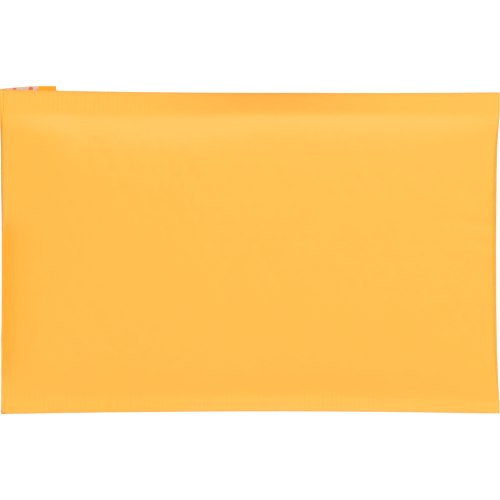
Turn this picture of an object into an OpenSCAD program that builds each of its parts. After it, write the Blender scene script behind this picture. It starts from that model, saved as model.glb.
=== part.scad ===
// Self-seal padded mailer, lying on its back with the flap folded under the mouth.
// +X runs from the mouth to the closed end, +Y across the pouch, +Z up.
// The flat underside rests on Z = 0. All sizes are in millimetres.

/* [Pouch] */
// Width of the pouch across both side seams, at its narrowest
pouch_w = 181.6; // [160:0.2:205]
// Length from the mouth crease to the closed end
pouch_l = 280.2; // [250:0.2:320]
// Height of the padded crown above the surface it lies on
crown_h = 14.2; // [12:0.1:18]
// Height of the front panel where it turns into the flap
mouth_h = 8.45; // [8:0.05:9.5]
// Distance over which the pillow rounds up from each seam
pillow_r = 6.8; // [5:0.1:9]
// How far the closed end is drawn in at its middle
end_draw = 1.95; // [0:0.05:4]

/* [Seams] */
// Width of each crimped side seam
seam_w = 10; // [7:0.5:13]
// Thickness of the crushed lining between the seam's two plies
weld_t = 0.3; // [0.2:0.05:0.5]
// Upward curl of the seams' outer edges at half length
seam_curl = 1.2; // [0:0.1:2]
// Extra width at the mouth corners
mouth_flare = 1.7; // [0:0.1:3]

/* [Paper and lining] */
// Thickness of the kraft paper
paper_t = 0.3; // [0.2:0.05:0.4]
// Thickness of the bubble lining, cells and film together
lining_t = 3.2; // [2.4:0.1:3.6]
// Thickness of the flat film that faces the pouch
film_t = 0.15; // [0.1:0.01:0.2]
// Thickness of the crushed strip that seals the lining at the mouth
seal_t = 0.8; // [0.6:0.05:1]
// Width of that strip along the pouch
seal_w = 8; // [6:0.5:9]

/* [Flap] */
// Flat depth of the flap past its crease
flap_d = 26.7; // [20:0.1:35]
// Sideways drift of the flap over its depth
flap_skew = 1.9; // [0:0.1:3]
// Width of the adhesive strip
glue_w = 14.5; // [10:0.5:16]
// Width of the release liner over it
liner_w = 16.1; // [11:0.1:17]

/* [Hidden] */

// Mouth crease and closed end; the roll at the mouth makes up the 2.3 mm shift.
x0 = -pouch_l / 2 + 2.3;
x1 = pouch_l / 2 + 2.3;
// Where the lining starts, and where both panels turn into the closed end.
xl = x0 + 1.8 + seal_w;
xc = x1 - 6.4;
// Running gap between layers that lie on each other.
gap = 0.02;

function clamp(v, a, b) = max(a, min(b, v));
function ease(v) = let (c = clamp(v, 0, 1)) c * c * (3 - 2 * c);
function tanh(v) = (exp(2 * v) - 1) / (exp(2 * v) + 1);

// Outer side edges: straight in the middle, flared towards the mouth.
function edge_left(x) = pouch_w / 2 + mouth_flare * pow(clamp((20 - x) / 162, 0, 1), 1.7)
    + 0.25 * pow(max(x - 60, 0) / 82, 2);
function edge_right(x) = pouch_w / 2 + 0.94 * mouth_flare * pow(clamp((5 - x) / 147, 0, 1), 1.8)
    + 1.2 * pow(clamp((x - 15) / 127, 0, 1), 1.6);

// Station t runs across the pouch: 0 on the centre line, 1 at a seam's inner
// edge, 2 at its outer edge; positive towards +Y.
function half_w(x, t) = t >= 0 ? edge_left(x) : edge_right(x);
function y_at(x, t) = let (a = abs(t), w = half_w(x, t))
    sign(t) * (a <= 1 ? a * (w - seam_w) : w - seam_w * (2 - a));
function from_seam(x, t) = max(0, 1 - abs(t)) * (half_w(x, t) - seam_w);
function rise(d, r) = 1 - (1 + d / r) * exp(-d / r);

// Height of the seams, of the crown on the centre line, and of the underside.
function seam_z(x) = mouth_h - paper_t - weld_t / 2 - 2.4 * (x - x0) / pouch_l;
function top_z(x) = mouth_h + (crown_h - mouth_h) * (1 - exp(-(x - x0) / 22))
    - 3.6 * pow(max(x - 20, 0) / 115, 2);
function low_z(x) = 1.0 * (1 - ease((x + 114) / 20)) + 1.6 * pow(max(x - 98, 0) / 40, 2);
function curl(x, t) = abs(t) <= 1 ? 0
    : seam_curl * pow(cos(180 * x / (pouch_l + 5)), 2) * pow(abs(t) - 1, 1.5);

function front_in(x, t) = seam_z(x) + curl(x, t) + weld_t / 2
    + rise(from_seam(x, t), pillow_r) * (top_z(x) - paper_t - weld_t / 2 - seam_z(x));
function back_in(x, t) = seam_z(x) + curl(x, t) - weld_t / 2
    - rise(from_seam(x, t), pillow_r) * (seam_z(x) - weld_t / 2 - paper_t - low_z(x));
function front_out(x, t) = front_in(x, t) + paper_t;
function back_out(x, t) = back_in(x, t) - paper_t;

// The closed end is a rounded nose as long as it is half thick, drawn in at
// its middle, so the last stations shift along X with t.
function nose(t) = (front_out(xc, t) - back_out(xc, t)) / 2;
function nose_x(t) = x1 - end_draw * rise(from_seam(xc, t), 8.5) - nose(t);
function x_at(x, t) = x + (nose_x(t) - xc) * pow(max(x - xc + 60, 0) / 60, 2);

// Lining thickness: full in the pouch, thin at the mouth and near the seams.
function lining_full(x) = seal_t + (lining_t - seal_t) * ease((x - xl) / 16);
function lining(x, t, full) = full * tanh(0.42 * (front_in(x, t) - back_in(x, t)) / full);

// Stations across and along.
t_half = [0.2, 0.38, 0.56, 0.69, 0.79, 0.864, 0.92, 0.963, 1, 1.5, 2];
function both(list) = concat([for (i = [len(list) - 1 : -1 : 0]) -list[i]], [0], list);
t_all = both(t_half);
t_in = both([for (v = t_half) if (v < 1) v]);
nx = 17;
x_in = [for (i = [0 : nx]) xl + (xc - xl) * (i / nx - 0.11 * sin(360 * i / nx))];
x_all = concat([x0, x0 + 1.8, x0 + 5.8, xl - 0.3], x_in);
x_back = concat([x0 + 0.8, x0 + 1.8, x0 + 5.8, xl - 0.3], x_in);
x_seal = [x0 + 1.8, x0 + 5.8, xl - 0.3];
turns = [for (k = [0 : 8]) 90 - 22.5 * k];

// Closed sheet between two grids of points of one size, a over b.
module sheet(a, b) {
    n = len(a);
    m = len(a[0]);
    s = n * m;
    function p(i, j) = i * m + j;
    polyhedron(
        points = concat([for (row = a) each row], [for (row = b) each row]),
        faces = concat(
            [for (i = [0 : n - 2], j = [0 : m - 2]) each [
                [p(i, j), p(i, j + 1), p(i + 1, j + 1)], [p(i, j), p(i + 1, j + 1), p(i + 1, j)],
                [s + p(i, j), s + p(i + 1, j + 1), s + p(i, j + 1)],
                [s + p(i, j), s + p(i + 1, j), s + p(i + 1, j + 1)]]],
            [for (i = [0 : n - 2]) each [
                [s + p(i, 0), p(i, 0), p(i + 1, 0)], [s + p(i, 0), p(i + 1, 0), s + p(i + 1, 0)],
                [s + p(i, m - 1), p(i + 1, m - 1), p(i, m - 1)],
                [s + p(i, m - 1), s + p(i + 1, m - 1), p(i + 1, m - 1)]]],
            [for (j = [0 : m - 2]) each [
                [s + p(0, j + 1), p(0, j + 1), p(0, j)], [s + p(0, j + 1), p(0, j), s + p(0, j)],
                [s + p(n - 1, j), p(n - 1, j), p(n - 1, j + 1)],
                [s + p(n - 1, j), p(n - 1, j + 1), s + p(n - 1, j + 1)]]]));
}

// Grids of points: on a height field, and around the closed end's nose.
function field(xs, ts, f) = [for (x = xs) [for (t = ts) [x_at(x, t), y_at(x, t), f(x, t)]]];
function around(ts, inset) = [for (a = turns) [for (t = ts)
    let (h = nose(t) - inset(t), mid = (front_out(xc, t) + back_out(xc, t)) / 2)
    [nose_x(t) + gap + h * cos(a), y_at(xc, t), mid + h * sin(a)]]];

// The paper wraps round the mouth on a half circle of this centre and radius.
roll_r = mouth_h / 2;
module arc_band(a0, a1, y0, y1) {
    n = 5;
    function at(r, a) = [x0 - r * sin(a), roll_r + r * cos(a)];
    translate([0, y1, 0]) rotate([90, 0, 0]) linear_extrude(height = y1 - y0)
        polygon(concat([for (k = [0 : n]) at(roll_r, a0 + (a1 - a0) * k / n)],
            [for (k = [n : -1 : 0]) at(roll_r - paper_t, a0 + (a1 - a0) * k / n)]));
}

// Plan outline of the flap between two distances past the crease, whose side
// edges drift with the skew; inset draws in both side edges.
function flap_y(u, side) = side * (pouch_w / 2 + (side > 0 ? 2.0 : 1.0)) + flap_skew * u / flap_d;
module flap_plan(u0, u1, inset) {
    polygon([[x0 + u0, flap_y(u0, -1) + inset], [x0 + u1, flap_y(u1, -1) + inset],
        [x0 + u1, flap_y(u1, 1) - inset], [x0 + u0, flap_y(u0, 1) - inset]]);
}

module front_panel() {
    color("#FDC051") sheet(field(x_all, t_all, function(x, t) front_out(x, t)),
        field(x_all, t_all, function(x, t) front_in(x, t)));
}

module back_panel() {
    color("#F7B64A") sheet(field(x_back, t_all, function(x, t) back_in(x, t)),
        field(x_back, t_all, function(x, t) back_out(x, t)));
}

module bottom_fold() {
    color("#FBB543") sheet(around(t_all, function(t) 0), around(t_all, function(t) paper_t));
}

module seam_weld(side) {
    ts = side > 0 ? [1, 1.5, 2] : [-2, -1.5, -1];
    color("#E8A33A") sheet(
        field(x_back, ts, function(x, t) seam_z(x) + curl(x, t) + weld_t / 2 - gap),
        field(x_back, ts, function(x, t) seam_z(x) + curl(x, t) - weld_t / 2 + gap));
}
module left_seam_weld() { seam_weld(1); }
module right_seam_weld() { seam_weld(-1); }

module front_mouth_seal() {
    color("#F3E3C4") sheet(field(x_seal, t_in, function(x, t) front_in(x, t) - gap),
        field(x_seal, t_in, function(x, t) front_in(x, t) - lining(x, t, seal_t)));
}
module back_mouth_seal() {
    color("#F3E3C4") sheet(
        field(x_seal, t_in, function(x, t) back_in(x, t) + lining(x, t, seal_t)),
        field(x_seal, t_in, function(x, t) back_in(x, t) + gap));
}

module front_bubble_cells() {
    color("#EFE6D2") sheet(field(x_in, t_in, function(x, t) front_in(x, t) - gap),
        field(x_in, t_in, function(x, t)
            front_in(x, t) - lining(x, t, lining_full(x)) + film_t + gap));
}
module front_inner_film() {
    color("#F6F1E6") sheet(field(x_in, t_in, function(x, t)
            front_in(x, t) - lining(x, t, lining_full(x)) + film_t),
        field(x_in, t_in, function(x, t) front_in(x, t) - lining(x, t, lining_full(x))));
}
module back_bubble_cells() {
    color("#EFE6D2") sheet(field(x_in, t_in, function(x, t)
            back_in(x, t) + lining(x, t, lining_full(x)) - film_t - gap),
        field(x_in, t_in, function(x, t) back_in(x, t) + gap));
}
module back_inner_film() {
    color("#F6F1E6") sheet(
        field(x_in, t_in, function(x, t) back_in(x, t) + lining(x, t, lining_full(x))),
        field(x_in, t_in, function(x, t)
            back_in(x, t) + lining(x, t, lining_full(x)) - film_t));
}
module bottom_fold_lining() {
    color("#EFE6D2") sheet(around(t_in, function(t) paper_t + gap),
        around(t_in, function(t) paper_t + lining(xc, t, lining_full(xc))));
}

module mouth_roll() {
    color("#FBBB4B") arc_band(0, 42, -edge_right(x0) + 0.2, edge_left(x0) + 0.1);
}
module fold_band() {
    color("#F6AE3C") arc_band(48, 132, -edge_right(x0) + 0.4, edge_left(x0) + 0.2);
}
module flap() {
    color("#F5A624") intersection() {
        union() {
            arc_band(138, 180, -pouch_w, pouch_w);
            translate([x0 - 0.02, -pouch_w, 0]) cube([flap_d + 0.02, 2 * pouch_w, paper_t]);
        }
        translate([0, 0, -1]) linear_extrude(height = mouth_h) flap_plan(-6, flap_d, 0);
    }
}
module flap_adhesive() {
    color("#E9DDBB") translate([0, 0, paper_t]) linear_extrude(height = 0.1)
        flap_plan(1.2, 1.2 + glue_w, 1.0);
}
module release_liner() {
    color("#EBCDC0") translate([0, 0, paper_t + 0.2]) linear_extrude(height = 0.15)
        flap_plan(0.4, 0.4 + liner_w, 0.3);
}

front_panel();
back_panel();
bottom_fold();
left_seam_weld();
right_seam_weld();
front_mouth_seal();
back_mouth_seal();
front_bubble_cells();
front_inner_film();
back_bubble_cells();
back_inner_film();
bottom_fold_lining();
mouth_roll();
fold_band();
flap();
flap_adhesive();
release_liner();
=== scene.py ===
"""Looks for the self-seal padded mailer: kraft paper, crimped seams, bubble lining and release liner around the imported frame."""
import math

import bpy
import numpy as np
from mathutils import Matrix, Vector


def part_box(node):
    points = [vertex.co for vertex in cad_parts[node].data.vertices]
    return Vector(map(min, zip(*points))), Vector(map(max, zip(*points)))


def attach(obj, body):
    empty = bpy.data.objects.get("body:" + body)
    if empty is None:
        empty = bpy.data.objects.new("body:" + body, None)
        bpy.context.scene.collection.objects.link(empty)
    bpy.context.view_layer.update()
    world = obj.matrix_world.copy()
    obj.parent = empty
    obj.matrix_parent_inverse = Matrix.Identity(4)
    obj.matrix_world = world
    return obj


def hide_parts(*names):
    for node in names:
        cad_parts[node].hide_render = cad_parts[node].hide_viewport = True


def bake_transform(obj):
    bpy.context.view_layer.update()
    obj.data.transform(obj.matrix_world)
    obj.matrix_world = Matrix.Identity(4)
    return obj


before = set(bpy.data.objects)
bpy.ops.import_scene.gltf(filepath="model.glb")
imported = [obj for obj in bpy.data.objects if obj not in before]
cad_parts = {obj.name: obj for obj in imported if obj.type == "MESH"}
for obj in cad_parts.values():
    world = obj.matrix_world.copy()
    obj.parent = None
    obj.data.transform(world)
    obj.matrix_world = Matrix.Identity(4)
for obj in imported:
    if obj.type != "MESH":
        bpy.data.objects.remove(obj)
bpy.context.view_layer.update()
MM = 0.001
rng = np.random.default_rng(7)

# ---------------------------------------------------------------- camera
scene = bpy.context.scene
VIEW_W = 0.2855  # width of the view at the seams' height, metres
CAM_Z = 1.5
cam_data = bpy.data.cameras.new("camera")
cam_data.sensor_width = 36.0
cam_data.lens = 36.0 * (CAM_Z - 0.007) / VIEW_W
cam_data.clip_start, cam_data.clip_end = 0.05, 20.0
camera = bpy.data.objects.new("camera", cam_data)
camera.location = (0.0, 0.00111, CAM_Z)
camera.rotation_euler = (0.0, 0.0, 0.0)
scene.collection.objects.link(camera)
scene.camera = camera
scene.view_settings.view_transform = "Standard"
scene.view_settings.look = "None"

# ---------------------------------------------------------------- shape, in millimetres
# The frame's own sizes: the same rules that the CAD panels follow.
lo_f, hi_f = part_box("front_panel")
lo_b, hi_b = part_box("bottom_fold")
POUCH_W, POUCH_L = 181.6, 280.2
X0, X1 = lo_f[0] / MM, 142.4  # mouth crease, closed end
MOUTH_H, CROWN_H = 8.45, hi_f[2] / MM
PILLOW, SEAM_W, WELD, PAPER = 6.8, 10.0, 0.3, 0.3
XC = X1 - 6.4
XL = X0 + 9.8
THIN = 0.2  # the paper as shown
LINING, SEAL, FILM = 3.2, 0.8, 0.15
ROLL = MOUTH_H / 2
RIB = 2.61
PITCH_X, PITCH_Y = 11.6, 9.72


def clamp(v, a=0.0, b=1.0):
    return np.clip(v, a, b)


def ease(v):
    c = clamp(v)
    return c * c * (3 - 2 * c)


def bell(v, mid, half):
    return np.exp(-(((v - mid) / half) ** 2))


def waves(x, y, size, seed, n=22, stretch=1.0):
    """Smooth random field of about unit size, with features about `size` mm across."""
    r = np.random.default_rng(seed)
    out = 0.0
    for _ in range(n):
        a, ph = r.uniform(0, 2 * math.pi), r.uniform(0, 2 * math.pi)
        k = 2 * math.pi / (size * r.uniform(1.4, 3.0))
        out = out + np.cos(k * (x * math.cos(a) / stretch + y * math.sin(a)) + ph)
    return out / math.sqrt(n / 2)


def curve_through(points, size):
    """A smooth curve through points, as a function: straight lines between them, rounded over `size`."""
    px, py = zip(*points)
    g = np.arange(-160.0, 160.1, 0.5)
    v = np.interp(g, px, py)
    k = np.exp(-((np.arange(-30, 31) * 0.5 / size) ** 2))
    k /= k.sum()
    v = np.convolve(np.pad(v, 30, mode="edge"), k, mode="valid")
    return lambda q: np.interp(q, g, v)


trim_left = curve_through([(-140, 0.15), (-110, 0.14), (-103, 0.07), (-91, 0), (-68, -0.06), (-28, -0.24), (0, -0.33), (45, -0.27), (91, -0.08), (114, -0.02), (137, 0.10), (143, 0.18)], 5)
trim_right = curve_through([(-142, 0.12), (-135, 0.04), (-120, 0.05), (-86, 0.02), (-51, 0.07), (-28, 0), (28, -0.03), (63, 0.0), (86, 0.0), (108, 0.09), (120, 0.22), (142, 0.2)], 5)
end_line = curve_through([(-96, 142.45), (-90.8, 142.45), (-84.5, 142.47), (-76, 141.88), (-58.8, 141.28), (-33.1, 140.88), (1.1, 140.72), (43.9, 141.0), (61.1, 141.33), (71.3, 142.00), (76.5, 142.50), (82, 142.65), (86.8, 142.68), (96, 142.68)], 3)
crease_line = curve_through([(-96, -0.08), (-90, -0.06), (-79, -0.01), (-62, 0.02), (-45, 0.05), (-27, 0.12), (-5, 0.16), (15, 0.13), (24, 0.04), (41, -0.30), (58, -0.28), (70, -0.62), (96, -1.15)], 4)


def edge_left(x):
    return POUCH_W / 2 + 0.05 + 1.7 * clamp((20 - x) / 162) ** 1.7 + 0.25 * (np.maximum(x - 60, 0) / 82) ** 2 + trim_left(x)


def edge_right(x):
    return POUCH_W / 2 + 0.05 + 1.6 * clamp((5 - x) / 147) ** 1.8 + 1.2 * clamp((x - 15) / 127) ** 1.6 + trim_right(x)


def half_w(x, t):
    return np.where(t >= 0, edge_left(x), edge_right(x))


def seam_w(x, t):
    """The crimp is wider on one side than on the other."""
    return np.where(t >= 0, SEAM_W + 1.2, SEAM_W - 0.9 - 1.6 * (x - X0) / POUCH_L)


def y_at(x, t):
    a, w, s = np.abs(t), half_w(x, t), seam_w(x, t)
    return np.sign(t) * np.where(a <= 1, a * (w - s), w - s * (2 - a))


def from_seam(x, t):
    return np.maximum(0, 1 - np.abs(t)) * (half_w(x, t) - seam_w(x, t))


def rise(d, r):
    return 1 - (1 + d / r) * np.exp(-d / r)


def seam_z(x, t):
    """Height of the seam's middle; past the mouth the seams ride up a little."""
    up = np.where(t >= 0, 2.0 * ease((x + 50) / 80), 1.8 * ease((x + 110) / 80))
    return MOUTH_H - PAPER - WELD / 2 - 2.4 * (x - X0) / POUCH_L + up


def slack(y):
    """1 along the part of the mouth where the crease is pinched flatter."""
    return ease((22 - y) / 14) * ease((y + 94) / 22)


def top_z(x, y):
    u, p = np.maximum(x - X0, 0), slack(y)
    full = CROWN_H - MOUTH_H
    up = 1.9 + (full - 1.9) * (1 - np.exp(-u / 40)) - 2.35 * p * (1 + 0.40 * bell(y, -76, 13)) * np.exp(-u / 6.6)
    return MOUTH_H + up - 3.6 * (np.maximum(x - 20, 0) / 115) ** 2 - 0.45 * (np.maximum(x - 92, 0) / 44) ** 2


def low_z(x):
    return 1.0 * (1 - ease((x + 114) / 20)) + 1.6 * (np.maximum(x - 98, 0) / 40) ** 2


def curl(x, t):
    """The seams' outer edges lift, most near the middle of the left one."""
    a = np.maximum(np.abs(t) - 1, 0)
    return np.where(t >= 0, (4.8 * bell(x, 12, 58) - 0.6) * a**1.15, (0.8 + 0.6 * bell(x, 20, 90)) * a**1.15)


def pillow_r(x, t):
    """The shoulder is rounder in places."""
    return PILLOW * np.where(t >= 0, 1.28 - 0.62 * ease((x + 55) / 70) - 0.42 * ease((-92 - x) / 20), 0.88 + 0.3 * ease((-60 - x) / 60))


def shoulder(x, t):
    """0 at the seam to 1 on the crown: a short turn beside the seam, then a long low rise that ends level."""
    d, D = from_seam(x, t), half_w(x, t) - seam_w(x, t)
    share = np.where(t >= 0, 0.42 * ease((x + 60) / 80), 0.52) * ease((x - X0 - 8) / 50)
    size = np.where(t >= 0, 40.0, 44.0)
    end = 2 * D / size**2 * np.exp(-((D / size) ** 2))
    low = 1 - np.exp(-((d / size) ** 2)) - end * d**2 / (2 * D)
    low = low / (1 - np.exp(-((D / size) ** 2)) - end * D / 2)
    return (1 - share) * rise(d, pillow_r(x, t)) + share * low


def rib_gain(x, t):
    """How strongly the crimp shows, which varies from rib to rib."""
    n = np.round((x - X0) / RIB).astype(int)
    where = np.where(t >= 0, 0.2 + 0.5 * bell(x, -90, 42) + 0.3 * ease((x - 98) / 25), 0.45 + 0.35 * ease((x + 10) / 70) + 0.2 * bell(x, -120, 25))
    r = np.random.default_rng(31)
    table = r.uniform(0.35, 1.25, 140)
    reach = r.uniform(0.0, 5.5, 140)
    k = np.clip(n, 0, 139)
    side = np.where(t >= 0, 0, 17)
    g = table[(k + side) % 140]
    run = reach[(k + side) % 140] * np.where(t >= 0, 0.35, 1.0)
    d = from_seam(x, t)
    inside = np.where(np.abs(t) >= 1, 1.0, np.exp(-((d / (0.6 + run)) ** 2)) * 0.8)
    outer = 1 - 0.5 * ease((np.abs(t) - 1.9) / 0.1)
    return g * inside * outer * where * ease((x - X0 - 5) / 8)


def crimp(x, t):
    return 0.055 * rib_gain(x, t) * np.cos(2 * math.pi * (x - X0) / RIB)


def cells(x, y):
    """Height of the bubble pattern, 1 on a bubble's middle and 0 between bubbles."""
    best = np.full(np.shape(x), 1e9)
    row = np.round(y / PITCH_Y)
    for dr in (-1, 0, 1):
        rr = row + dr
        off = (rr % 2) * PITCH_X / 2
        cx = (np.round((x - off) / PITCH_X)) * PITCH_X + off
        best = np.minimum(best, (x - cx) ** 2 + (y - rr * PITCH_Y) ** 2)
    return np.sqrt(np.maximum(0, 1 - best / 5.2**2))


def groove(x, y, a, b, width, depth):
    """A shallow fold from a, where it fades out, to b."""
    ax, ay = a
    bx, by = b
    L2 = (bx - ax) ** 2 + (by - ay) ** 2
    s = ((x - ax) * (bx - ax) + (y - ay) * (by - ay)) / L2
    px, py = ax + s * (bx - ax), ay + s * (by - ay)
    d = np.hypot(x - px, y - py)
    return -depth * ease(s * 1.2) * ease((1.25 - s) * 4) * np.exp(-((d / width) ** 2))


def skin(x, y, t):
    """Small relief of the front and back: bubbles showing through, soft waves and folds."""
    d = from_seam(x, t)
    into = ease((d - 2) / 12) * ease((x - X0 - 4) / 14) * ease((XC - x) / 8)
    # the bubbles press through faintly and evenly, and their rows wander a little
    press = 0.105 * (1 + 0.18 * waves(x, y, 34, 7)) * ease((d - 5) / 20)
    shown = cells(x + 0.9 * waves(x, y, 60, 8), y + 0.7 * waves(x, y, 52, 9)) ** 1.7
    z = press * into * (shown - 0.45)
    z = z + into * (0.022 * waves(x, y, 9, 3) + 0.075 * waves(x, y, 38, 4))
    z = z + 0.012 * into * waves(x, y, 3.2, 5)
    z = z + 0.035 * ease((np.abs(t) - 0.98) / 0.1) * waves(x, y, 16, 6, stretch=2.5)
    return z


def front_fold_lines(x, y):
    z = groove(x, y, (96, 21.5), (141, 14.0), 2.9, 0.42)
    z = z + groove(x, y, (112, 12.5), (141, 2.0), 2.6, 0.32)
    z = z + groove(x, y, (118, 63), (141, 60.5), 3.0, 0.10)
    z = z + groove(x, y, (120, -44), (141, -47), 3.2, 0.10)
    z = z + groove(x, y, (-112, 38), (-137, 44), 3.4, 0.08)
    return z


def front_out(x, t, y=None, detail=True):
    r = shoulder(x, t)
    y = y_at(x, t) if y is None else y
    z = seam_z(x, t) + curl(x, t) + WELD / 2 + PAPER + r * (top_z(x, y) - PAPER - WELD / 2 - seam_z(x, t))
    if detail:
        z = z + crimp(x, t) + skin(x, y, t) + front_fold_lines(x, y)
    return z


def back_out(x, t, y=None, detail=True):
    r = rise(from_seam(x, t), 1.15 * PILLOW)
    z = seam_z(x, t) + curl(x, t) - WELD / 2 - PAPER - r * (seam_z(x, t) - WELD / 2 - PAPER - low_z(x))
    if detail:
        y = y_at(x, t) if y is None else y
        relief = 0.55 * skin(x, -y + 3.1, t)
        # where the back lies on the surface, the relief only goes up
        flat = ease((0.5 - z) / 0.5)
        z = z + crimp(x, t) + (1 - flat) * relief + flat * 0.6 * np.abs(relief)
    return z


def nose_half(t):
    return (front_out(np.full_like(t, XC), t, detail=False) - back_out(np.full_like(t, XC), t, detail=False)) / 2


def end_x(t):
    """The closed end's outline: its corners stand out, its middle is drawn in."""
    return end_line(y_at(np.full_like(t, XC), t))


def nose_x(t):
    return end_x(t) - nose_half(t)


def crease_dx(y):
    """The mouth crease isn't quite square: it runs out towards its left end."""
    return crease_line(y)


# ---------------------------------------------------------------- one sheet of paper, mouth flap to back
def spread(n_seam, n_side, n_mid):
    """Stations across: t from -2 to 2."""
    seam = np.linspace(1, 2, n_seam + 1)
    side = 1 - np.linspace(0, 0.2, n_side + 1)
    mid = np.linspace(0, 0.8, n_mid + 1)
    half = np.concatenate([mid, side[::-1][1:], seam[1:]])
    return np.concatenate([-half[:0:-1], half])


T = spread(8, 13, 28)
M = len(T)
COL = RIB / 4

xs = np.arange(X0, XC, COL)
xs[-1] = XC
xg, tg = np.meshgrid(xs, T, indexing="ij")


# squareness of the mouth's turn over its upper half, where it is creased: 2 is round
SQ = 6.5 + 5.5 * ease((np.abs(T) - 0.86) / 0.16)


def turn(psi):
    """Unit curve of the mouth's turn at the stations T, psi from the top: how far out, how far up."""
    p = np.where(psi <= math.pi / 2, 2 / SQ, 2 / 2.4)
    return np.abs(np.sin(psi)) ** p, np.sign(np.cos(psi)) * np.abs(np.cos(psi)) ** p


def panel(front, detail=True):
    """Outer face of the front or back panel as a grid of points, from the crease to the closed end."""
    at = np.full_like(T, X0)
    slope0 = np.maximum((front_out(at + 0.4, T, detail=False) - front_out(at, T, detail=False)) / 0.4, 1e-4)
    psi0 = np.zeros_like(T)
    for _ in range(6):  # where the panel's slope meets the turn's
        sx, cz = turn(psi0)
        there = (slope0 + ROLL * (1 - cz) / 9) / (1 + ROLL * sx / 6)
        psi0 = np.arctan(there ** (SQ / (2 * (SQ - 1))))
    x = xg + (nose_x(T) - XC)[None, :] * (np.maximum(xg - XC + 60, 0) / 60) ** 2
    if front:
        sx, cz = turn(psi0)
        xs0 = X0 - ROLL * sx
        x = x + (xs0 - X0)[None, :] * np.exp(-(xg - X0) / 6)
        z = front_out(np.maximum(xg, X0), tg, detail=detail)
        # the panel leaves the turn where their slopes agree
        z = z - (ROLL * (1 - cz))[None, :] * np.exp(-np.maximum(xg - X0, 0) / 9)
    else:
        z = back_out(xg, tg, detail=detail)
        x = x + 0.8 * np.exp(-(xg - X0) / 3)
    y = y_at(xg, tg)
    x = x + crease_dx(y) * np.exp(-(xg - X0) / 14)
    return np.stack([x, y, z], -1), psi0


front_grid, psi0 = panel(True)
back_grid, _ = panel(False)

# the nose at the closed end
phi = np.radians(np.linspace(90, -90, 27))[1:-1]
ztop, zlow = front_grid[-1, :, 2], back_grid[-1, :, 2]
zmid, zhalf = (ztop + zlow) / 2, (ztop - zlow) / 2
xn = front_grid[-1, :, 0]
long = end_x(T) - xn
nose_grid = np.stack([
    xn[None, :] + long[None, :] * np.cos(phi)[:, None] ** (2 / 2.35),
    np.repeat(front_grid[-1, :, 1][None, :], len(phi), 0),
    zmid[None, :] + zhalf[None, :] * (np.sign(np.sin(phi)) * np.abs(np.sin(phi)) ** (2 / 2.35))[:, None]], -1)

# the roll at the mouth, from the top down, then the flap plate
FLAP_D = 26.7


def flap_y(s, t):
    """Side edges of the flap at path s past the roll's outermost line; the flap is folded a little askew."""
    k = 1 - np.maximum(0, 1 - s / 28) ** 1.7
    top = 93.0 + 2.15 * k + 0.16 * bell(s, 19, 9) + 0.2 * bell(s, 8, 5)
    low = -(92.5 - 2.2 * k)
    return np.where(t >= 0, t / 2 * top, -t / 2 * low)


def roll_point(psi, t, r=ROLL):
    """psi in radians from the top; the first quarter follows the panel's edge."""
    y_panel = y_at(np.full_like(t, X0), t)
    s = ROLL * np.maximum(psi - math.pi / 2, 0)
    k = ease(psi / (math.pi * 0.5))
    y = y_panel * (1 - k) + flap_y(s, t) * k
    sx, cz = turn(psi)
    x = X0 - r * sx + crease_dx(y)
    z = ROLL + r * cz
    return np.stack([x, y, z], -1)


def quarter(n, upper, r=ROLL):
    rows = []
    for i in range(n + 1):
        if upper:
            psi = psi0 + (math.pi / 2 - psi0) * i / n
        else:
            psi = np.full_like(T, math.pi / 2 + math.pi / 2 * i / n)
        p = roll_point(psi, T, r)
        if upper:  # meet the panel's own edge exactly, in height and outline
            k = (1 - i / n) ** 2
            p[:, 2] += (front_grid[0, :, 2] - (ROLL + ROLL * turn(psi0)[1])) * k
        rows.append(p)
    return np.stack(rows)


def plate(n, z):
    rows = []
    for i in range(n + 1):
        u = FLAP_D * i / n
        s = ROLL * math.pi / 2 + u
        y = flap_y(s, T)
        x = X0 + u + crease_dx(y) * math.exp(-u / 9)
        lift = 0.10 * waves(np.full_like(T, x[0]) + u, y, 30, 12) * ease(u / 10)
        rows.append(np.stack([x, y, np.full_like(T, z) + np.abs(lift)], -1))
    return np.stack(rows)


upper_roll = quarter(30, True)
lower_roll = quarter(30, False)
flap_plate = plate(34, 0.0)


# ---------------------------------------------------------------- mesh helpers
def grid_normals(g):
    du = np.gradient(g, axis=0)
    dv = np.gradient(g, axis=1)
    n = np.cross(du, dv)
    return n / np.maximum(np.linalg.norm(n, axis=-1, keepdims=True), 1e-12)


def link(obj):
    scene.collection.objects.link(obj)
    return obj


def build(name, verts, faces, materials, face_mats=None, corner_normals=None, attrs=None, sharp=None):
    """faces is an (F, 4) or (F, 3) array."""
    me = bpy.data.meshes.new(name)
    F, k = faces.shape
    me.vertices.add(len(verts))
    me.vertices.foreach_set("co", (np.asarray(verts) * MM).astype(np.float32).ravel())
    me.loops.add(F * k)
    me.loops.foreach_set("vertex_index", faces.astype(np.int32).ravel())
    me.polygons.add(F)
    me.polygons.foreach_set("loop_start", np.arange(0, F * k, k, dtype=np.int32))
    me.update(calc_edges=True)
    for m in materials:
        me.materials.append(m)
    if face_mats is not None:
        me.polygons.foreach_set("material_index", face_mats.astype(np.int32))
    me.polygons.foreach_set("use_smooth", np.ones(F, bool))
    for key, val in (attrs or {}).items():
        val = np.asarray(val, np.float32)
        if val.ndim == 1:
            a = me.attributes.new(key, "FLOAT", "POINT")
            a.data.foreach_set("value", val)
        else:
            a = me.attributes.new(key, "FLOAT_VECTOR", "POINT")
            a.data.foreach_set("vector", val.ravel())
    if sharp is not None:
        smooth = np.ones(F, bool)
        smooth[sharp] = False
        me.polygons.foreach_set("use_smooth", smooth)
    me.update()
    if corner_normals is not None:
        me.normals_split_custom_set(corner_normals.reshape(-1, 3).tolist())
    return link(bpy.data.objects.new(name, me))


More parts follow.
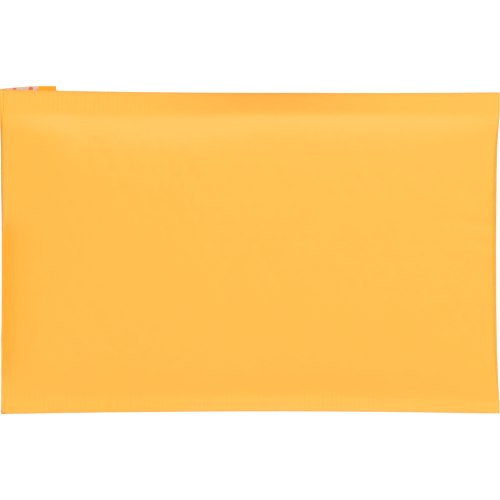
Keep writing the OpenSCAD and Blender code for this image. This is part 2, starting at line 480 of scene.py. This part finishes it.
def shell(name, outer, inner, materials, normals=None, attrs=None, keep_normals=True):
    """Closed sheet from two grids of points: outer face, inner face and a rim. Material 0 is the outer face, 1 the inner, 2 the cut edge."""
    n, m = outer.shape[:2]
    verts = np.concatenate([outer.reshape(-1, 3), inner.reshape(-1, 3)])
    idx = np.arange(n * m).reshape(n, m)
    s = n * m
    a, b, c, d = idx[:-1, :-1], idx[1:, :-1], idx[1:, 1:], idx[:-1, 1:]
    top = np.stack([a, b, c, d], -1).reshape(-1, 4)
    low = np.stack([a, d, c, b], -1).reshape(-1, 4) + s
    rims = []
    rims.append(np.stack([idx[:-1, 0] + s, idx[1:, 0] + s, idx[1:, 0], idx[:-1, 0]], -1))
    rims.append(np.stack([idx[:-1, -1], idx[1:, -1], idx[1:, -1] + s, idx[:-1, -1] + s], -1))
    rims.append(np.stack([idx[0, :-1], idx[0, 1:], idx[0, 1:] + s, idx[0, :-1] + s], -1))
    rims.append(np.stack([idx[-1, :-1] + s, idx[-1, 1:] + s, idx[-1, 1:], idx[-1, :-1]], -1))
    rim = np.concatenate(rims)
    faces = np.concatenate([top, low, rim])
    fm = np.concatenate([np.zeros(len(top)), np.ones(len(low)), np.full(len(rim), 2)])
    corner = None
    if keep_normals:
        N = grid_normals(outer) if normals is None else normals
        NN = np.concatenate([N.reshape(-1, 3), -N.reshape(-1, 3)])
        e1 = verts[rim[:, 1]] - verts[rim[:, 0]]
        e2 = verts[rim[:, 2]] - verts[rim[:, 1]]
        rn = np.cross(e1, e2)
        rn /= np.maximum(np.linalg.norm(rn, axis=1, keepdims=True), 1e-12)
        corner = np.concatenate([NN[top], NN[low], np.repeat(rn[:, None, :], 4, 1)])
    fm = np.minimum(fm, len(materials) - 1)
    full = {}
    for key, val in (attrs or {}).items():
        full[key] = np.concatenate([val.reshape(s, -1), val.reshape(s, -1)]).squeeze()
    sharp = np.arange(len(top) + len(low), len(faces))
    return build(name, verts, faces, materials, fm, corner, full, sharp)


def offset(grid, normals, by):
    return grid + normals * by


# ---------------------------------------------------------------- materials
def new_material(name):
    m = bpy.data.materials.new(name)
    m.use_nodes = True
    nt = m.node_tree
    nt.nodes.clear()
    out = nt.nodes.new("ShaderNodeOutputMaterial")
    bs = nt.nodes.new("ShaderNodeBsdfPrincipled")
    nt.links.new(bs.outputs[0], out.inputs[0])
    return m, nt, bs


def node(nt, kind, **kw):
    n = nt.nodes.new(kind)
    for k, v in kw.items():
        if k.startswith("in_"):
            key = k[3:]
            n.inputs[int(key) if key.isdigit() else key].default_value = v
        else:
            setattr(n, k, v)
    return n


def math_node(nt, op, a, b=None, clamp_it=False):
    n = node(nt, "ShaderNodeMath", operation=op, use_clamp=clamp_it)
    for i, v in enumerate((a, b)):
        if v is None:
            continue
        if isinstance(v, (int, float)):
            n.inputs[i].default_value = v
        else:
            nt.links.new(v, n.inputs[i])
    return n.outputs[0]


def mix_colour(nt, fac, a, b, blend="MIX"):
    n = node(nt, "ShaderNodeMix", data_type="RGBA", blend_type=blend)
    for sock, v in ((n.inputs[0], fac), (n.inputs[6], a), (n.inputs[7], b)):
        if isinstance(v, (int, float)):
            sock.default_value = v
        elif isinstance(v, tuple):
            sock.default_value = (*v, 1.0) if len(v) == 3 else v
        else:
            nt.links.new(v, sock)
    return n.outputs[2]


def noise(nt, vec, scale, detail=2.0, rough=0.5, stretch=(1, 1, 1)):
    mp = node(nt, "ShaderNodeMapping", vector_type="POINT")
    mp.inputs["Scale"].default_value = stretch
    nt.links.new(vec, mp.inputs[0])
    n = node(nt, "ShaderNodeTexNoise")
    n.inputs["Scale"].default_value = scale
    n.inputs["Detail"].default_value = detail
    n.inputs["Roughness"].default_value = rough
    nt.links.new(mp.outputs[0], n.inputs["Vector"])
    return n.outputs[0]


def ramp(nt, fac, stops):
    r = node(nt, "ShaderNodeValToRGB")
    r.color_ramp.elements[0].position, r.color_ramp.elements[0].color = stops[0][0], (*stops[0][1], 1)
    r.color_ramp.elements[1].position, r.color_ramp.elements[1].color = stops[-1][0], (*stops[-1][1], 1)
    for pos, col in stops[1:-1]:
        e = r.color_ramp.elements.new(pos)
        e.color = (*col, 1)
    nt.links.new(fac, r.inputs[0])
    return r.outputs[0]


def kraft(name, light, dark, fleck_and_shade, roughness=0.5, specular=0.5, bump=0.25):
    """Machine-glazed kraft paper: long fibres along the sheet, cloudy formation, a few flecks. Painted shade in the
    deep colour along the sheet's turns and beside the mouth crease, and a darker line along the seams' outer edges; the
    crimp mask is read but adds nothing. The `flat` attribute is the sheet's own flat coordinates in metres.
    """
    m, nt, bs = new_material(name)
    vec = node(nt, "ShaderNodeAttribute", attribute_name="flat").outputs["Vector"]
    cloud = noise(nt, vec, 55, 3, 0.55)
    form = noise(nt, vec, 260, 3, 0.6)
    fibre = noise(nt, vec, 900, 4, 0.65, (0.35, 1.6, 1))
    cross = noise(nt, vec, 1500, 3, 0.6, (1.4, 0.5, 1))
    grain = noise(nt, vec, 5200, 2, 0.5)
    tone = math_node(nt, "ADD", math_node(nt, "MULTIPLY", cloud, 0.20), math_node(nt, "MULTIPLY", form, 0.30))
    tone = math_node(nt, "ADD", tone, math_node(nt, "MULTIPLY", fibre, 0.28))
    tone = math_node(nt, "ADD", tone, math_node(nt, "MULTIPLY", cross, 0.14))
    tone = math_node(nt, "ADD", tone, math_node(nt, "MULTIPLY", grain, 0.08))
    tone = math_node(nt, "MULTIPLY", math_node(nt, "SUBTRACT", tone, 0.5), 2.2)
    tone = math_node(nt, "ADD", tone, 0.5, True)
    col = mix_colour(nt, tone, dark, light)
    # flecks: short dark and light fibres, thinly scattered
    fleck = node(nt, "ShaderNodeTexVoronoi", feature="F1")
    fleck.inputs["Scale"].default_value = 210
    mp = node(nt, "ShaderNodeMapping")
    mp.inputs["Scale"].default_value = (0.55, 1.35, 1)
    mp.inputs["Rotation"].default_value = (0, 0, 0.35)
    nt.links.new(vec, mp.inputs[0])
    nt.links.new(mp.outputs[0], fleck.inputs["Vector"])
    near = math_node(nt, "LESS_THAN", fleck.outputs["Distance"], 0.085)
    rare = math_node(nt, "GREATER_THAN", noise(nt, vec, 95, 1, 0.5), 0.62)
    col = mix_colour(nt, math_node(nt, "MULTIPLY", math_node(nt, "MULTIPLY", near, rare), 0.16), col, fleck_and_shade)
    # crimp, crease and cut edge
    # crimp mask (amount 0, adds nothing), painted shade on the turns and beside the mouth crease, and a darker line
    # along the seams' outer edges
    for key, amount in (("crimped", 0.0), ("painted_shade", 0.60), ("cut", 0.45)):
        a = node(nt, "ShaderNodeAttribute", attribute_name=key).outputs["Fac"]
        col = mix_colour(nt, math_node(nt, "MULTIPLY", a, amount), col, fleck_and_shade)
    nt.links.new(col, bs.inputs["Base Color"])
    rg = math_node(nt, "ADD", math_node(nt, "MULTIPLY", math_node(nt, "SUBTRACT", form, 0.5), 0.22), roughness)
    nt.links.new(rg, bs.inputs["Roughness"])
    bs.inputs["Specular IOR Level"].default_value = specular
    h = math_node(nt, "ADD", math_node(nt, "MULTIPLY", fibre, 0.5), math_node(nt, "MULTIPLY", cross, 0.3))
    h = math_node(nt, "ADD", h, math_node(nt, "MULTIPLY", grain, 0.2))
    bp = node(nt, "ShaderNodeBump")
    bp.inputs["Strength"].default_value = bump
    bp.inputs["Distance"].default_value = 0.00004
    nt.links.new(h, bp.inputs["Height"])
    nt.links.new(bp.outputs[0], bs.inputs["Normal"])
    return m


KRAFT = kraft("kraft_outside", (0.668, 0.2865, 0.0055), (0.640, 0.2645, 0.0037), (0.48, 0.155, 0.0025), roughness=0.36)
KRAFT_IN = kraft("kraft_inside", (0.715, 0.303, 0.0070), (0.680, 0.272, 0.0050), (0.64, 0.22, 0.003), roughness=0.85, specular=0.06, bump=0.4)
KRAFT_CUT = kraft("kraft_cut_edge", (0.92, 0.42, 0.05), (0.85, 0.34, 0.03), (0.7, 0.25, 0.02), roughness=0.85, specular=0.2, bump=0.5)


def poly_film(name, colour, alpha, roughness, bump_scale=900, specular=0.5):
    m, nt, bs = new_material(name)
    tc = node(nt, "ShaderNodeTexCoord").outputs["Object"]
    haze = noise(nt, tc, 140, 3, 0.6)
    wrinkle = noise(nt, tc, bump_scale, 3, 0.55, (1, 0.6, 1))
    col = mix_colour(nt, haze, tuple(c * 0.93 for c in colour), colour)
    nt.links.new(col, bs.inputs["Base Color"])
    bs.inputs["Alpha"].default_value = alpha
    bs.inputs["IOR"].default_value = 1.5
    bs.inputs["Specular IOR Level"].default_value = specular
    rg = math_node(nt, "ADD", math_node(nt, "MULTIPLY", haze, 0.12), roughness)
    nt.links.new(rg, bs.inputs["Roughness"])
    bp = node(nt, "ShaderNodeBump")
    bp.inputs["Strength"].default_value = 0.35
    bp.inputs["Distance"].default_value = 0.0002
    nt.links.new(wrinkle, bp.inputs["Height"])
    nt.links.new(bp.outputs[0], bs.inputs["Normal"])
    return m


BUBBLE = poly_film("bubble_film", (0.86, 0.72, 0.46), 1.0, 0.14)
FILM_M = poly_film("flat_film", (0.95, 0.87, 0.68), 0.50, 0.10, 500)
CRUSHED = poly_film("crushed_film", (0.84, 0.68, 0.40), 1.0, 0.32, 1500)
WELD_FILM = poly_film("weld_film", (0.74, 0.40, 0.10), 1.0, 0.45, 1500)


def adhesive_material():
    m, nt, bs = new_material("adhesive")
    tc = node(nt, "ShaderNodeTexCoord").outputs["Object"]
    a = noise(nt, tc, 420, 4, 0.6, (1, 0.25, 1))
    b = noise(nt, tc, 1800, 2, 0.5)
    col = mix_colour(nt, a, (0.74, 0.62, 0.38), (0.86, 0.77, 0.55))
    nt.links.new(col, bs.inputs["Base Color"])
    rg = math_node(nt, "ADD", math_node(nt, "MULTIPLY", b, 0.2), 0.14)
    nt.links.new(rg, bs.inputs["Roughness"])
    bp = node(nt, "ShaderNodeBump")
    bp.inputs["Strength"].default_value = 0.5
    bp.inputs["Distance"].default_value = 0.0001
    nt.links.new(a, bp.inputs["Height"])
    nt.links.new(bp.outputs[0], bs.inputs["Normal"])
    return m


def liner_material(rows):
    """Silicone-coated release paper, pale pink, with rows of plain round dots. rows: (x of the row, y of one dot, pitch, radius, colour), in millimetres of the flat sheet."""
    m, nt, bs = new_material("release_liner")
    vec = node(nt, "ShaderNodeAttribute", attribute_name="flat").outputs["Vector"]
    sep = node(nt, "ShaderNodeSeparateXYZ")
    nt.links.new(vec, sep.inputs[0])
    tone = noise(nt, vec, 300, 4, 0.6, (1, 0.4, 1))
    fine = noise(nt, vec, 2600, 2, 0.5)
    col = mix_colour(nt, tone, (0.461, 0.373, 0.2960), (0.514, 0.420, 0.356))
    for x, y, pitch, radius, ink in rows:
        dx = math_node(nt, "MULTIPLY", math_node(nt, "SUBTRACT", sep.outputs[0], x * MM), 1 / MM)
        v = math_node(nt, "DIVIDE", math_node(nt, "SUBTRACT", sep.outputs[1], y * MM), pitch * MM)
        v = math_node(nt, "SUBTRACT", v, math_node(nt, "ROUND", v))
        dy = math_node(nt, "MULTIPLY", v, pitch)
        r2 = math_node(nt, "ADD", math_node(nt, "MULTIPLY", dx, dx), math_node(nt, "MULTIPLY", dy, dy))
        r = math_node(nt, "SQRT", r2)
        r = math_node(nt, "ADD", r, math_node(nt, "MULTIPLY", math_node(nt, "SUBTRACT", fine, 0.5), 0.35))
        dot = math_node(nt, "MULTIPLY", math_node(nt, "SUBTRACT", radius + 0.12, r), 4.2, True)
        dot = math_node(nt, "MULTIPLY", dot, 0.92)
        col = mix_colour(nt, dot, col, ink)
    nt.links.new(col, bs.inputs["Base Color"])
    rg = math_node(nt, "ADD", math_node(nt, "MULTIPLY", tone, 0.15), 0.30)
    nt.links.new(rg, bs.inputs["Roughness"])
    bp = node(nt, "ShaderNodeBump")
    bp.inputs["Strength"].default_value = 0.25
    bp.inputs["Distance"].default_value = 0.00004
    nt.links.new(fine, bp.inputs["Height"])
    nt.links.new(bp.outputs[0], bs.inputs["Normal"])
    return m


# ---------------------------------------------------------------- the kraft sheet
# Normals come from the whole wrap at once; the front, closed end and back keep them, so these shade as one sheet.
whole = np.concatenate([flap_plate[::-1][:-1], lower_roll[::-1][:-1], upper_roll[::-1][:-1], front_grid, nose_grid, back_grid[::-1]])
normals = grid_normals(whole)
cut = np.cumsum([0, len(flap_plate) - 1, len(lower_roll) - 1, len(upper_roll) - 1, len(front_grid), len(nose_grid), len(back_grid)])
step = np.linalg.norm(np.diff(whole[:, M // 2], axis=0), axis=1)
path = np.concatenate([[0], np.cumsum(step)])
flat = np.zeros_like(whole)
flat[..., 0] = path[:, None] * MM
flat[..., 1] = whole[..., 1] * MM
crimped = np.repeat(ease((np.abs(T) - 0.98) / 0.04)[None, :], len(whole), 0)
crimped[: cut[3]] = 0
edge_d = (2 - np.abs(T)) * SEAM_W
cut_a = np.repeat(np.exp(-((edge_d / 0.9) ** 2))[None, :], len(whole), 0)
# painted shade: how much the deep colour darkens the paper where it turns away from the light, filled in below
painted_shade = np.zeros(whole.shape[:2])


def piece(name, rows, mats=None, keep=True, thick=THIN):
    a, b = rows
    g, n = whole[a:b], normals[a:b]
    att = {"flat": flat[a:b], "crimped": crimped[a:b], "cut": cut_a[a:b], "painted_shade": painted_shade[a:b]}
    return shell(name, g, offset(g, n, -thick), mats or [KRAFT, KRAFT_IN, KRAFT_CUT], n, att, keep)


i_plate, i_low, i_up, i_front, i_nose, i_back, i_end = cut
# painted shade: deeper colour along the closed end's turn and the mouth's turn, where the paper turns away from the
# light; on the closed end it fades towards the seams and towards -Y
mid = (i_nose + i_back) / 2
for k in range(len(whole)):
    painted_shade[k] = 0.9 * math.exp(-(((k - mid) / 7.0) ** 2)) if i_nose - 12 < k < i_back + 12 else 0.0
nose_y = y_at(np.full_like(T, XC), T)
painted_shade *= (clamp(rise(from_seam(np.full_like(T, XC), T), 4.0)) * 0.9 + 0.1)[None, :] * (0.35 + 0.65 * ease((nose_y + 4) / 28))[None, :]
# painted shade along the mouth's turn, none over the seams
for k in range(i_up, i_front):
    painted_shade[k] = 0.40 * math.exp(-(((k - i_up - 15) / 7.0) ** 2)) * (1 - ease((np.abs(T) - 0.9) / 0.1))

# painted shade on the front just past the mouth's turn, where the crease is pinched flatter and the surface dips
# towards it
painted_shade[i_front:i_nose] += 0.20 * slack(front_grid[..., 1]) * np.exp(-(front_grid[..., 0] - X0 + ROLL) / 5.5) * (np.abs(T) < 1)[None, :]

kraft_front = piece("kraft_front", (i_front, i_nose + 1))
kraft_end = piece("kraft_closed_end", (i_nose, i_back + 1))
kraft_back = piece("kraft_back", (i_back, i_end))
kraft_crease = piece("kraft_crease", (i_up, i_front + 1), keep=False)
kraft_flap = piece("kraft_flap", (i_plate, i_up + 1), keep=False)

for obj, nodes_ in ((kraft_front, ["front_panel"]), (kraft_end, ["bottom_fold"]), (kraft_back, ["back_panel"])):
    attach(obj, "bag")
    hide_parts(*nodes_)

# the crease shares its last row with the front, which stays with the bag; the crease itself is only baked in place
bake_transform(kraft_crease)
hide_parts("mouth_roll")
# the turn ends just short of the liner, which lies flat on the flap
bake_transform(kraft_flap)
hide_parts("flap", "fold_band")


# ---------------------------------------------------------------- seam welds
def weld(name, sign):
    ts = sign * np.linspace(1.0, 1.978, 9)
    if sign < 0:
        ts = ts[::-1]
    x = xs[2:]
    xx, tt = np.meshgrid(x, ts, indexing="ij")
    px = xx + (nose_x(ts) - XC)[None, :] * (np.maximum(xx - XC + 60, 0) / 60) ** 2
    y = y_at(xx, tt)
    px = px + crease_dx(y) * np.exp(-(xx - X0) / 14)
    z = seam_z(xx, tt) + curl(xx, tt) + crimp(xx, tt) + 0.035 * ease((np.abs(tt) - 0.98) / 0.1) * waves(xx, y, 16, 6, stretch=2.5)
    h = WELD / 2 + PAPER - THIN - 0.02
    top = np.stack([px, y, z + h], -1)
    low = np.stack([px, y, z - h], -1)
    obj = shell(name, top, low, [WELD_FILM])
    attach(obj, "bag")
    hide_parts("left_seam_weld" if sign > 0 else "right_seam_weld")
    return obj


weld("crimp_left", 1)
weld("crimp_right", -1)


# ---------------------------------------------------------------- lining
def lining_full(x):
    return np.where(x < XL, SEAL, SEAL + (LINING - SEAL) * ease((x - XL) / 16))


def lining(x, t, full=None):
    full = lining_full(x) if full is None else full
    gap = front_out(x, t, detail=False) - back_out(x, t, detail=False) - 2 * PAPER
    return full * np.tanh(0.42 * gap / full)


def warp(x, t, y):
    px = x + (nose_x(t) - XC) * (np.maximum(x - XC + 60, 0) / 60) ** 2
    return px + crease_dx(y) * np.exp(-(x - X0) / 14)


T_IN = 0.962


def inner_face(x, t, front):
    """The lining's two faces: against the paper, and facing the pouch."""
    if front:
        wall = front_out(x, t) - PAPER - 0.02
        return wall, wall - lining(x, t) + 0.02
    wall = back_out(x, t) + PAPER + 0.02
    return wall, wall + lining(x, t) - 0.02


def film(name, front):
    x = np.arange(XL, XC + 0.01, 1.45)
    x[-1] = XC
    t = np.linspace(-T_IN, T_IN, 109)
    xx, tt = np.meshgrid(x, t, indexing="ij")
    y = y_at(xx, tt)
    _, face = inner_face(xx, tt, front)
    # each cell's air pushes the flat film out a little
    puff = 0.30 * cells(xx, y) ** 1.5 * ease((from_seam(xx, tt) - 3) / 9) * ease((xx - XL - 3) / 12)
    sgn = -1 if front else 1
    z1 = face + 0.30 * -sgn * 0 + sgn * (puff - 0.30)
    z0 = z1 - sgn * 0.10
    px = warp(xx, tt, y)
    a, b = np.stack([px, y, z1], -1), np.stack([px, y, z0], -1)
    obj = shell(name, b if front else a, a if front else b, [FILM_M])
    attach(obj, "bag")
    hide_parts("front_inner_film" if front else "back_inner_film")
    return obj


def bubbles(name, front):
    """Every air cell of the lining: a thermoformed dome on the flat film, its crown against the paper."""
    seg, rings = 16, 5
    ang = np.linspace(0, 2 * math.pi, seg, endpoint=False)
    rad = np.array([1.0, 0.97, 0.88, 0.70, 0.42])
    hgt = np.array([0.0, 0.42, 0.74, 0.93, 1.0])
    verts, quads = [], []
    r = np.random.default_rng(5 if front else 6)
    row_n = int(84 // PITCH_Y)
    for row in range(-row_n, row_n + 1):
        y0 = row * PITCH_Y
        off = (row % 2) * PITCH_X / 2
        for k in range(-13, 14):
            x0 = k * PITCH_X + off
            if not XL + 6 < x0 < XC - 5:
                continue
            w = (edge_left(x0) if y0 >= 0 else edge_right(x0)) - SEAM_W
            if w - abs(y0) < 8.5:
                continue
            size = 4.95 * r.uniform(0.975, 1.02)
            squash = r.uniform(0.86, 1.0)
            cx = x0 + size * rad[:, None] * np.cos(ang)[None, :]
            cy = y0 + size * rad[:, None] * np.sin(ang)[None, :]
            t = np.sign(cy) * np.abs(cy) / (np.where(cy >= 0, edge_left(cx), edge_right(cx)) - SEAM_W)
            wall, face = inner_face(cx, t, front)
            sgn = 1 if front else -1
            base = face + sgn * 0.32
            top = wall - sgn * 0.10
            z = base + (top - base) * hgt[:, None] * squash
            px = warp(cx, t, cy)
            s = len(verts) * (seg * rings + 2)
            ring = np.stack([px, cy, z], -1).reshape(-1, 3)
            tip = ring[-seg:].mean(0)
            foot = ring[:seg].mean(0)
            verts.append(np.concatenate([ring, [tip], [foot]]))
            i = np.arange(seg)
            j = (i + 1) % seg
            for q in range(rings - 1):
                a, b = s + q * seg + i, s + q * seg + j
                c, d = s + (q + 1) * seg + j, s + (q + 1) * seg + i
                quads.append(np.stack([a, b, c, d] if front else [a, d, c, b], -1))
            last = s + (rings - 1) * seg
            tipi, footi = s + rings * seg, s + rings * seg + 1
            quads.append(np.stack([last + i, last + j, np.full(seg, tipi), np.full(seg, tipi)] if front else [last + j, last + i, np.full(seg, tipi), np.full(seg, tipi)], -1))
            quads.append(np.stack([s + j, s + i, np.full(seg, footi), np.full(seg, footi)] if front else [s + i, s + j, np.full(seg, footi), np.full(seg, footi)], -1))
    V = np.concatenate(verts)
    Q = np.concatenate(quads)
    tri = Q[:, 2] == Q[:, 3]
    tris = np.concatenate([Q[tri][:, :3], Q[~tri][:, [0, 1, 2]], Q[~tri][:, [0, 2, 3]]])
    obj = build(name, V, tris, [BUBBLE])
    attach(obj, "bag")
    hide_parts("front_bubble_cells" if front else "back_bubble_cells")
    return obj


film("inner_film_front", True)
film("inner_film_back", False)
bubbles("bubble_cells_front", True)
bubbles("bubble_cells_back", False)


def end_lining():
    """The lining carries on round the closed end inside the paper's turn."""
    t = np.linspace(-T_IN, T_IN, 81)
    a = np.radians(np.linspace(90, -90, 19))
    full = np.full_like(t, XC)
    top, low = front_out(full, t) - PAPER, back_out(full, t) + PAPER
    midz, half = (top + low) / 2, (top - low) / 2 - 0.03
    thick = np.minimum(lining(full, t), half - 0.06)
    y = y_at(full, t)
    x = nose_x(t) + crease_dx(y) * 0
    bump = 0.25 * np.abs(np.sin(y * math.pi / PITCH_Y))

    def ring(h, lift):
        return np.stack([
            x[None, :] + 0.02 + h[None, :] * np.cos(a)[:, None],
            np.repeat(y[None, :], len(a), 0),
            midz[None, :] + (h[None, :] - lift[None, :]) * np.sin(a)[:, None]], -1)

    obj = shell("end_lining", ring(half - 0.05, bump * 0.2 * clamp(half / 4)), ring(half - thick, bump * 0 * half), [CRUSHED])
    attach(obj, "bag")
    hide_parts("bottom_fold_lining")
    return obj


end_lining()


def mouth_seal(name, front):
    """Crushed strip that ends the lining at the mouth, ribbed by the sealing bar."""
    x = np.arange(X0 + 1.8, XL - 0.25, 0.34)
    t = np.linspace(-T_IN, T_IN, 121)
    xx, tt = np.meshgrid(x, t, indexing="ij")
    y = y_at(xx, tt)
    if front:
        wall = front_out(xx, tt) - PAPER - 0.02
        sgn = -1
    else:
        wall = back_out(xx, tt) + PAPER + 0.02
        sgn = 1
    thick = lining(xx, tt, np.full_like(xx, SEAL)) - 0.02
    rib = 0.10 * np.cos(2 * math.pi * xx / 1.36) + 0.05 * waves(xx, y, 6, 21)
    inner = wall + sgn * np.maximum(thick - 0.14 + rib * clamp(thick / 0.5), 0.1)
    ragged = 0.35 * waves(xx, y, 5, 22) * (ease((xx - XL + 3) / 2.5) - 0.6 * ease((X0 + 3.2 - xx) / 1.2))
    px = xx + crease_dx(y) * np.exp(-(xx - X0) / 14) + clamp(ragged, -0.25, 0.2)
    a, b = np.stack([px, y, wall], -1), np.stack([px, y, inner], -1)
    obj = shell(name, a if front else b, b if front else a, [CRUSHED])
    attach(obj, "bag")
    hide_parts("front_mouth_seal" if front else "back_mouth_seal")
    return obj


mouth_seal("mouth_seal_front", True)
mouth_seal("mouth_seal_back", False)


# ---------------------------------------------------------------- adhesive strip and release liner
def flap_strip(name, u0, u1, z0, z1, inset, mats, wave=0.0, end_wave=0.0, nx=26, ny=240):
    u = np.linspace(u0, u1, nx)
    v = np.linspace(-2, 2, ny)
    uu, vv = np.meshgrid(u, v, indexing="ij")
    s = ROLL * math.pi / 2 + uu
    y = flap_y(s, vv)
    lim = np.where(vv >= 0, flap_y(s, np.full_like(vv, 2.0)) - inset, -flap_y(s, np.full_like(vv, -2.0)) - inset)
    y = np.sign(vv) * np.abs(vv) / 2 * lim
    x = X0 + uu + crease_dx(y) * np.exp(-np.maximum(uu, 0) / 9)
    bed = np.where(uu < 0, ROLL - np.sqrt(np.maximum((ROLL - PAPER) ** 2 - uu**2, 0)) - PAPER, 0)
    w = wave * np.abs(waves(x, y, 18, 13))
    x = x + end_wave * waves(x * 0, y, 3, 14) * (np.abs(uu - (u0 + u1) / 2) > (u1 - u0) / 2 - 0.01)
    top = np.stack([x, y, z1 + bed + w], -1)
    low = np.stack([x, y, z0 + bed + w], -1)
    fl = np.stack([x * MM, y * MM, 0 * x], -1)
    return shell(name, top, low, mats, attrs={"flat": fl})


glue = flap_strip("adhesive_strip", 1.2, 15.7, 0.215, 0.35, 1.2, [adhesive_material()], end_wave=0.12)
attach(glue, "flap")
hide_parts("flap_adhesive")

INK = (0.62, 0.045, 0.03)
INK_DARK = (0.50, 0.08, 0.02)
LINER = liner_material([
    (-134.9, 93.35, 5.6, 0.95, INK),
    (-130.4, 92.2, 5.6, 0.75, (0.83, 0.25, 0.20)),
    (-125.7, 93.5, 5.6, 1.25, INK),
    (-121.9, 92.9, 2.8, 0.45, INK_DARK),
])
liner = flap_strip("release_liner_strip", -0.75, 16.5, 0.37, 0.45, 0.35, [LINER], wave=0.03)
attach(liner, "release_liner")
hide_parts("release_liner")

# ---------------------------------------------------------------- stage and light
def stage_plane():
    me = bpy.data.meshes.new("floor")
    s = 3.0
    me.from_pydata([(-s, -s, -0.0002), (s, -s, -0.0002), (s, s, -0.0002), (-s, s, -0.0002)], [], [(0, 1, 2, 3)])
    o = link(bpy.data.objects.new("floor", me))
    m, nt, bs = new_material("floor")
    bs.inputs["Base Color"].default_value = (0.30, 0.30, 0.30, 1)
    bs.inputs["Roughness"].default_value = 0.9
    bs.inputs["Specular IOR Level"].default_value = 0.05
    bs.inputs["Emission Color"].default_value = (1, 1, 1, 1)
    bs.inputs["Emission Strength"].default_value = 0.80
    me.materials.append(m)


stage_plane()


def soft_light(name, size, place, power, aim=(0, 0, 0)):
    d = bpy.data.lights.new(name, "AREA")
    d.shape = "RECTANGLE"
    d.size, d.size_y = size
    d.energy = power
    o = link(bpy.data.objects.new(name, d))
    o.location = place
    v = np.array(aim, float) - np.array(place, float)
    dist = np.linalg.norm(v)
    rx = math.acos(-v[2] / dist)
    rz = math.atan2(v[0], -v[1])
    o.rotation_euler = (rx, 0, rz)
    if abs(v[0]) < 1e-9 and abs(v[1]) < 1e-9:
        o.rotation_euler = (0, 0, 0)
    else:
        direction = v / dist
        from mathutils import Vector
        o.rotation_euler = Vector(direction).to_track_quat("-Z", "Y").to_euler()
    return o


soft_light("overhead", (5.1, 4.2), (0.35, -0.695, 3.53), 114)
soft_light("key", (5.1, 3.3), (0.35, 2.52, 2.52), 182)
soft_light("low_fill", (5.0, 1.3), (0.3, -3.3, 1.45), 56)
world = bpy.data.worlds.new("world")
world.use_nodes = True
wn = world.node_tree
back = wn.nodes["Background"]
back.inputs[0].default_value = (1, 1, 1, 1)
wdir = node(wn, "ShaderNodeTexCoord").outputs["Generated"]
wsep = node(wn, "ShaderNodeSeparateXYZ")
wn.links.new(wdir, wsep.inputs[0])
level = math_node(wn, "ADD", math_node(wn, "MULTIPLY", wsep.outputs[0], 0.02), 0.32)
wn.links.new(level, back.inputs[1])
scene.world = world
